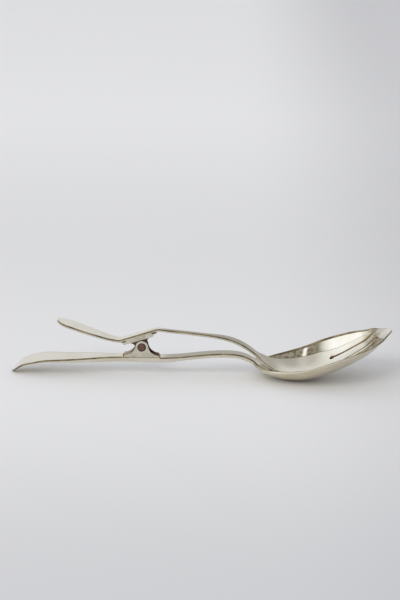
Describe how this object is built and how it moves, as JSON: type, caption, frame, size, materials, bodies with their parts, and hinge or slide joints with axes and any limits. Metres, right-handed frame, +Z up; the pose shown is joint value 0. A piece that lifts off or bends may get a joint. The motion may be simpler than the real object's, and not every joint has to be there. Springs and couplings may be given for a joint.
{
  "type": "hinged salad servers",
  "caption": "One-hand metal salad servers: a serving spoon and a slotted fork nested in it, hinged like sprung tongs, with a leaf handle and a thumb lever.",
  "frame": {"origin": "on the table, under the centre of the whole object's box", "axes": "+X along the servers from the handle towards the bowls, +Y to their left, +Z up from the table"},
  "size_m": [0.2594, 0.0626, 0.0381],
  "materials": {
    "silver_plate": "worn silver plate over nickel silver, polished by use, faintly yellow at the edges",
    "bracket_plate": "dull silver plate with brown stain near the braze",
    "browned_steel": "dark red-brown oxidised pin end",
    "spring_steel": "dark oiled spring wire"
  },
  "bodies": {
    "spoon": {"spoon_arm": "silver_plate", "lower_yoke": "bracket_plate", "hinge_pin": "browned_steel", "closing_spring": "spring_steel"},
    "fork": {"fork_arm": "silver_plate", "upper_yoke": "bracket_plate"}
  },
  "joints": [
    {"name": "fork_hinge", "type": "hinge", "parent": "spoon", "child": "fork", "pos_m": [-0.04086, 0, 0.02069], "axis": [0, -1, 0], "range_deg": [0, 20], "stiffness_Nm_per_rad": 0.075, "springref_deg": -45.84, "deforming": ["closing_spring"]}
  ]
}
